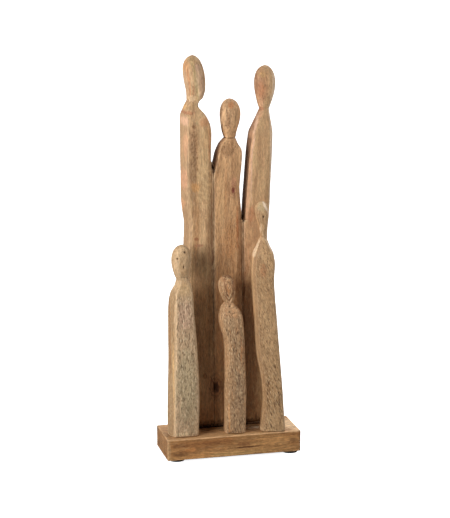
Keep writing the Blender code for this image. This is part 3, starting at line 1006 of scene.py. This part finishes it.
back_right = carved_copy("back_right_figure", "back_right")
press(back_right, -RIGHT_LEAN_OUT, above_middle, direction="X")
press(back_right, -RIGHT_SIDE_OUT, lower_right_side, direction="X")
slope_slot(back_right, RIGHT_JOINT, RIGHT_SLOT_FLOOR)
undercut_foot(back_right)
crease(back_right, RIGHT_NECK, 1.2, 0.4)
lay_marks(back_right, MARK_STRETCH, MARK_DEPTH, untouched, MARKS_PROUD)
square_edge(back_right, RIGHT_JOINT, -1)
close_joint(back_right, RIGHT_JOINT, -1)
BACK_RIGHT_LOOK = BACK_LEFT_LOOK | {
    "light": tone(206, 166, 122),
    "dark": tone(184, 144, 104),
    "streak": tone(202, 148, 108),
    "faces": [
        ((-1, -0.9, 0), 0.8, 0.93, None, tone(202, 150, 116), 0.6),
        # Painted highlight: the right front flat is painted pale.
        ((1, -0.6, 0), 0.8, 0.93, None, tone(232, 208, 178), 0.6),
        # Painted shade: the left side is darker, much darker below 0.44 m, where it faces the
        # slot.
        ((-1, 0, 0.3), 0.8, 0.93, None, tone(158, 118, 90), 0.8),
        ((-1, 0, 0.3), 0.8, 0.93, 0.44, tone(100, 70, 46), 0.75),
        # Painted shade: the slot floor, facing up below 0.42 m, is painted near black.
        ((0, 0, 1), 0.8, 0.95, 0.42, tone(30, 18, 9), 1.0),
    ],
    "stains": [
        # Painted shade at the bottom of the slot.
        (23, 329, 2.6, 7, 0, tone(30, 18, 9), 0.9),
        (50, 512, 9, 26, 0, tone(176, 128, 92), 0.6),
        (48.1, 506, 6, 11, 0, tone(184, 116, 74), 0.45),
        (49, 526, 6, 4, 0, tone(202, 162, 108), 0.6),
        (43, 512, 1.2, 16, 0, tone(130, 88, 60), 0.6),
        (49, 479.5, 6, 2.6, 0, tone(164, 106, 76), 0.5),
        (34, 334, 5, 14, 0, tone(164, 96, 62), 0.6),
        # Painted highlights along the left front edge.
        (42, 460, 1.4, 14, 19, tone(230, 194, 166), 0.5),
        (36.5, 430, 1.3, 20, 8, tone(226, 186, 158), 0.35),
        (34, 385, 1.2, 40, 1, tone(228, 184, 156), 0.5),
        # Painted highlight down the right edge.
        (61, 437, 1.4, 70, 0, tone(236, 210, 180), 0.6),
        (24, 240, 1.6, 90, 0, tone(124, 84, 52), 0.7),
        # Painted shade: the lower body is painted darker.
        (40, 310, 20, 45, 0, tone(176, 130, 92), 0.4),
        # Painted shade: darker low down between the rows, then a painted contact shadow along the
        # foot.
        (30, 140, 16, 140, 0, tone(132, 84, 46), 0.65),
        (30, 36, 60, 10, 0, tone(70, 44, 22), 0.6),
        (30, 33, 60, 4.0, 0, tone(34, 20, 10), 0.6),
    ],
    "heart_of_tree": (0.06, 0.06, 0.42),
    "rings": 0.12,
    "curls": [],
    "speckle": (0.12, 0.12),
    "contrast": 0.1,
    "pores": [
        (1.3, 6.0, 0.4, 0.3, 0.3, tone(132, 92, 58), None),
        (1.2, 5.0, 0.35, 0.25, 0.25, tone(228, 194, 152), None),
        (1.4, 6.0, 0.45, 0.75, 0.75, tone(120, 82, 54), (50, 506, 14, 30)),
    ],
    "knots": [],
}
set_up(
    back_right,
    "back_right_figure",
    hardwood("oiled hardwood of the back right figure", BACK_RIGHT_LOOK, (0.5, 0.1, 0.3)),
)


# Front left figure
# A stout short figure with a pale, pin-holed head, a golden planed left side and a greyer
# front that was left rough from the saw.

FRONT_MARK_STRETCH = (0.012, 0.012, 0.035)
FRONT_MARK_DEPTH = 0.8 * MM
PIN_REACH = 0.9
PIN_DEPTH = 1.4 * MM
RIDGE = -80.3
RIDGE_LEAN = 0.006
RIDGE_FOOT = 60
FRONT_FACE = -28.75
SHOULDERS = 252
FLAT_FACING = (-0.922, -0.387)
DEEPEST_CUT = 6.5
LEG_TAPER = 1.2 * MM


def pin_hole(piece, x, z, width, height):
    """A small hole in the front at a place in mm, as a worm or a lost knot leaves."""
    near = [
        vertex.co / MM
        for vertex in piece.data.vertices
        if abs(vertex.co.x / MM - x) < PIN_REACH and abs(vertex.co.z / MM - z) < PIN_REACH
    ]
    spot = min(near, key=lambda co: co.y)

    def share(x, y, z, normal):
        across = np.hypot((x - spot.x) / width, (y - spot.y) / (2 * width))
        return bell(np.hypot(across, (z - spot.z) / height), 1.0)

    press(piece, PIN_DEPTH, share)
    return tuple(spot), min(width, height), tone(58, 38, 24)


def planed_corner(x, y, z, normal):
    """How far the corner stands out from the flat that runs from the ridge to the back."""
    ridge = RIDGE + RIDGE_LEAN * (z - RIDGE_FOOT)
    outside = FLAT_FACING[0] * (x - ridge) + FLAT_FACING[1] * (y - FRONT_FACE)
    slope = np.maximum(FLAT_FACING[0] * normal[0] + FLAT_FACING[1] * normal[1], 0.3)
    return outside / slope / DEEPEST_CUT * (z < SHOULDERS)


def lower_left_side(x, y, z, normal):
    return fade(-x, 75, 81) * (1 - fade(z, 60, 160))


front_left = carved_copy("front_left_figure", "front_left")
press(front_left, DEEPEST_CUT * MM, planed_corner)
press(front_left, LEG_TAPER, lower_left_side, direction="X")
groove(front_left, (-71, 258.5), (-62, 256.5), 1.2, 0.9)
front_left_holes = [
    pin_hole(front_left, -67.8, 293.5, 1.2, 1.3),
    pin_hole(front_left, -78, 285, 1.0, 1.5),
    pin_hole(front_left, -69, 272.5, 1.1, 3.0),
]
lay_marks(front_left, FRONT_MARK_STRETCH, FRONT_MARK_DEPTH, untouched, MARKS_PROUD)
FRONT_LEFT_LOOK = BACK_LEFT_LOOK | {
    "light": tone(208, 174, 134),
    "dark": tone(180, 146, 108),
    "streak": tone(188, 144, 98),
    "cloud": tone(188, 160, 124),
    "faces": [
        ((0, -1, 0), 0.86, 0.97, 0.232, tone(192, 160, 126), 0.85),
        ((-1, -0.2, 0), 0.8, 0.95, 0.24, tone(158, 125, 88), 0.72),
        ((1, -1, 0), 0.88, 0.97, 0.24, tone(196, 164, 126), 0.6),
    ],
    "rough_face": ((0, -1, 0), 0.86, 0.97, 0.232),
    "stains": [
        (-66, 110, 16, 55, 0, tone(178, 162, 126), 0.55),
        (-68, 205, 12, 22, 0, tone(198, 160, 134), 0.6),
        (-67, 243, 10, 7, 0, tone(204, 170, 122), 0.3),
        (-60, 60, 8, 30, 0, tone(160, 138, 104), 0.4),
        (-86, 180, 1.0, 70, 0, tone(140, 96, 56), 0.6),
        (-83, 120, 1.0, 60, 0, tone(224, 180, 124), 0.6),
        (-73, 38, 10, 3, 0, tone(222, 196, 154), 0.7),
    ],
    "rings": 0.06,
    "curls": [],
    "speckle": (0.13, 0.17),
    "pores": [
        (1.4, 6.5, 0.55, 0.75, 0.1, tone(100, 76, 52), None),
        (1.3, 4.0, 0.55, 0.65, 0.42, tone(104, 78, 52), None),
        (1.4, 5.5, 0.5, 0.7, 0.35, tone(228, 204, 166), None),
    ],
    "knots": front_left_holes,
    "halo": tone(170, 136, 98),
}
set_up(
    front_left,
    "front_left_figure",
    hardwood("oiled hardwood of the front left figure", FRONT_LEFT_LOOK, (0.3, 0.6, 0.2)),
)


# Front middle figure
# The smallest figure, stooping a little, turned on the block, and coarse in grain all over.

COARSE_MARK_STRETCH = (0.007, 0.007, 0.02)
COARSE_MARK_DEPTH = 1.1 * MM
COARSE_MARKS_PROUD = 0.8

front_middle = carved_copy("front_middle_figure", "front_middle")
groove(front_middle, (-15, 236), (-5, 222), 1.2, 0.7)
groove(front_middle, (1.6, 236), (-4.3, 222), 1.2, 0.7)
groove(front_middle, (-11.6, 248), (-7.5, 228), 1.1, 0.5)
groove(front_middle, (-3, 249), (-5, 230), 1.1, 0.4)
front_middle_holes = [
    pin_hole(front_middle, -5, 214.4, 1.0, 1.0),
    pin_hole(front_middle, -5.7, 207.5, 0.9, 0.9),
]
lay_marks(
    front_middle, COARSE_MARK_STRETCH, COARSE_MARK_DEPTH, untouched, COARSE_MARKS_PROUD
)
FRONT_MIDDLE_LOOK = FRONT_LEFT_LOOK | {
    "light": tone(192, 148, 106),
    "dark": tone(150, 110, 76),
    "streak": tone(202, 134, 80),
    "streaks": 0.6,
    "cloud": tone(170, 132, 96),
    "faces": [
        ((-0.17, -1, 0), 0.86, 0.97, 0.20, tone(164, 132, 98), 0.75),
        ((-1, -0.6, 0), 0.8, 0.93, None, tone(172, 136, 98), 0.7),
    ],
    "rough_face": ((-0.17, -1, 0), 0.7, 0.95),
    "stains": [
        (-5, 240, 14, 16, 0, tone(158, 106, 64), 0.3),
        (-10, 229, 1.6, 8, -36, tone(104, 70, 44), 0.5),
        (-1.4, 229, 1.6, 8, 23, tone(108, 72, 44), 0.5),
        (-9.6, 238, 1.4, 11, -12, tone(100, 66, 40), 0.5),
        (-6.6, 239, 1.8, 10, -8, tone(212, 146, 94), 0.6),
        (-3.6, 240, 1.3, 9, 5, tone(112, 72, 44), 0.4),
        (-5, 255, 9, 2.6, 0, tone(104, 70, 46), 0.6),
        (2, 243, 1.8, 8, 12, tone(186, 128, 84), 0.5),
        (-5.6, 52, 1.3, 24, 0, tone(214, 150, 92), 0.55),
        (10.8, 150, 1.8, 20, 0, tone(194, 130, 82), 0.5),
        (7, 100, 6, 30, 0, tone(150, 122, 94), 0.4),
    ],
    "speckle": (0.18, 0.18),
    "pores": [
        (1.45, 6.5, 0.55, 0.8, 0.6, tone(84, 58, 38), None),
        (1.35, 4.0, 0.55, 0.7, 0.6, tone(88, 60, 38), None),
        (1.4, 5.5, 0.5, 0.7, 0.6, tone(228, 194, 150), None),
        (1.6, 11.0, 0.2, 0.4, 0.4, tone(200, 136, 84), None),
    ],
    "knots": front_middle_holes,
}
set_up(
    front_middle,
    "front_middle_figure",
    hardwood(
        "oiled hardwood of the front middle figure",
        FRONT_MIDDLE_LOOK,
        (0.7, 0.3, 0.5),
        turn=(0, 0.12, 0),
    ),
)


# Front right figure
# A slender swaying figure with a small pinched head, turned on the block like the middle one.
# The saw crossed its grain, so that the pores slant across its lower front.

front_right = carved_copy("front_right_figure", "front_right")
front_right_holes = [pin_hole(front_right, 41, 338.5, 1.2, 2.2)]
lay_marks(front_right, FRONT_MARK_STRETCH, FRONT_MARK_DEPTH, untouched, MARKS_PROUD)
FRONT_RIGHT_LOOK = FRONT_LEFT_LOOK | {
    "light": tone(204, 164, 120),
    "dark": tone(174, 136, 96),
    "streak": tone(194, 140, 90),
    "cloud": tone(184, 150, 108),
    "faces": [
        ((-0.17, -1, 0), 0.86, 0.97, None, tone(186, 148, 106), 0.6),
        ((-1, -0.9, 0), 0.85, 0.95, None, tone(154, 118, 82), 0.75),
        # Painted highlight: the right front flat is painted pale.
        ((1, -0.7, 0), 0.85, 0.95, None, tone(214, 182, 144), 0.5),
    ],
    "rough_face": ((-0.17, -1, 0), 0.86, 0.97, 0.30),
    "stains": [
        (40, 350, 6, 9, 0, tone(192, 170, 130), 0.6),
        # Painted highlights: the right rim of the head, then the edges of the shoulders and the
        # neck.
        (45, 350, 2.1, 9, -22, tone(246, 222, 194), 0.85),
        (33, 293, 1.6, 16, 22, tone(240, 210, 172), 0.75),
        (50.3, 296, 1.5, 14, -27, tone(242, 216, 184), 0.7),
        (38.5, 318, 1.4, 10, 2, tone(236, 204, 166), 0.5),
        (24, 245, 1.4, 32, 0, tone(228, 194, 152), 0.6),
        (41, 264, 5, 12, 0, tone(176, 114, 76), 0.45),
        (49, 104, 4, 4, 0, tone(112, 78, 48), 0.7),
        (49.5, 85, 12, 30, 0, tone(164, 124, 82), 0.4),
        (33, 38, 12, 3, 0, tone(220, 190, 146), 0.5),
    ],
    "speckle": (0.12, 0.15),
    "pores": [
        (1.5, 7.0, 0.5, 0.65, 0.25, tone(114, 80, 50), None),
        (1.3, 3.6, 0.5, 0.65, 0.35, tone(112, 78, 50), None),
        (1.4, 6.0, 0.4, 0.55, 0.35, tone(228, 194, 150), None),
        (1.6, 9.0, 0.65, 0.95, 0.4, tone(86, 58, 35), (50, 80, 26, 60)),
        (1.4, 7.0, 0.5, 0.8, 0.4, tone(228, 192, 146), (50, 80, 26, 60)),
    ],
    "knots": front_right_holes,
}
set_up(
    front_right,
    "front_right_figure",
    hardwood(
        "oiled hardwood of the front right figure",
        FRONT_RIGHT_LOOK,
        (0.9, 0.5, 0.7),
        turn=(0, 0.34, 0),
    ),
)


# Floor, light and camera
# A plain white table, lit by a soft box on the left, a weaker one on the right and broad light
# from behind, in a room that is pale only at the back. It is seen from a little left of the
# front and from above.

CAMERA_PLACE = (-0.5592, -2.2137, 0.7574)
CAMERA_AIM = (0.23768, 0.94911, -0.20665)
CAMERA_LENS = 118.147
CAMERA_SENSOR = 36
ROOM_IN_FRONT = 0.025
ROOM_BEHIND = 0.6
TABLE_SIZE = 60
TABLE_WHITE = (0.86, 0.86, 0.86, 1)
TABLE_BOUNCE = (0.25, 0.25, 0.25, 1)
TABLE_GLOW = 0.92


def sun(name, azimuth, elevation, strength, softness):
    """A broad light from an azimuth to the left of the front and an elevation, in degrees."""
    light = bpy.data.lights.new(name, "SUN")
    light.energy = strength
    light.angle = math.radians(softness)
    lamp = bpy.data.objects.new(name, light)
    left, up = math.radians(azimuth), math.radians(elevation)
    beam = Vector((math.sin(left) * math.cos(up), math.cos(left) * math.cos(up), -math.sin(up)))
    lamp.rotation_euler = beam.to_track_quat("-Z", "Y").to_euler()
    bpy.context.scene.collection.objects.link(lamp)


def softbox(name, azimuth, distance, height, aim, size, power):
    """A square soft light at an azimuth to the left of the front, aimed at a height."""
    light = bpy.data.lights.new(name, "AREA")
    light.size = size
    light.energy = power
    lamp = bpy.data.objects.new(name, light)
    left = math.radians(azimuth)
    lamp.location = (-math.sin(left) * distance, -math.cos(left) * distance, height)
    lamp.rotation_euler = (Vector((0, 0, aim)) - lamp.location).to_track_quat("-Z", "Y").to_euler()
    lamp.visible_camera = False
    bpy.context.scene.collection.objects.link(lamp)


softbox("key light", azimuth=61, distance=0.9, height=0.54, aim=0.45, size=0.5, power=10.5)
softbox("right light", azimuth=-64, distance=1.1, height=0.85, aim=0.5, size=0.6, power=7.2)
sun("back light", azimuth=-140, elevation=52, strength=1.6, softness=35)

world = bpy.data.worlds.new("white room")
world.use_nodes = True
bpy.context.scene.world = world
sky = Bench(world.node_tree)
seen = sky.add("ShaderNodeLightPath").outputs["Is Camera Ray"]
outward = sky.add("ShaderNodeTexCoord").outputs["Generated"]
backward = sky.add("ShaderNodeSeparateXYZ", {0: outward}).outputs["Y"]
room = sky.between(backward, 0.0, 0.6, ROOM_IN_FRONT, ROOM_BEHIND)
backdrop = world.node_tree.nodes["Background"]
backdrop.inputs["Color"].default_value = (1, 1, 1, 1)
sky.feed(backdrop.inputs["Strength"], sky.math("MAXIMUM", seen, room))

bpy.ops.mesh.primitive_plane_add(size=TABLE_SIZE, location=(0, 0, 0))
floor = bpy.context.object
floor.name = "floor"
white, ground, table = new_finish("white table")
straight = ground.add("ShaderNodeLightPath").outputs["Is Camera Ray"]
ground.feed(table.inputs["Base Color"], ground.blend(straight, TABLE_BOUNCE, TABLE_WHITE))
table.inputs["Roughness"].default_value = 0.9
table.inputs["Emission Color"].default_value = (1, 1, 1, 1)
ground.feed(table.inputs["Emission Strength"], ground.math("MULTIPLY", straight, TABLE_GLOW))
floor.data.materials.append(white)

lens = bpy.data.cameras.new("camera")
lens.lens = CAMERA_LENS
lens.sensor_width = CAMERA_SENSOR
camera = bpy.data.objects.new("camera", lens)
camera.location = CAMERA_PLACE
camera.rotation_euler = Vector(CAMERA_AIM).to_track_quat("-Z", "Y").to_euler()
bpy.context.scene.collection.objects.link(camera)
bpy.context.scene.camera = camera
bpy.context.scene.view_settings.view_transform = "Standard"
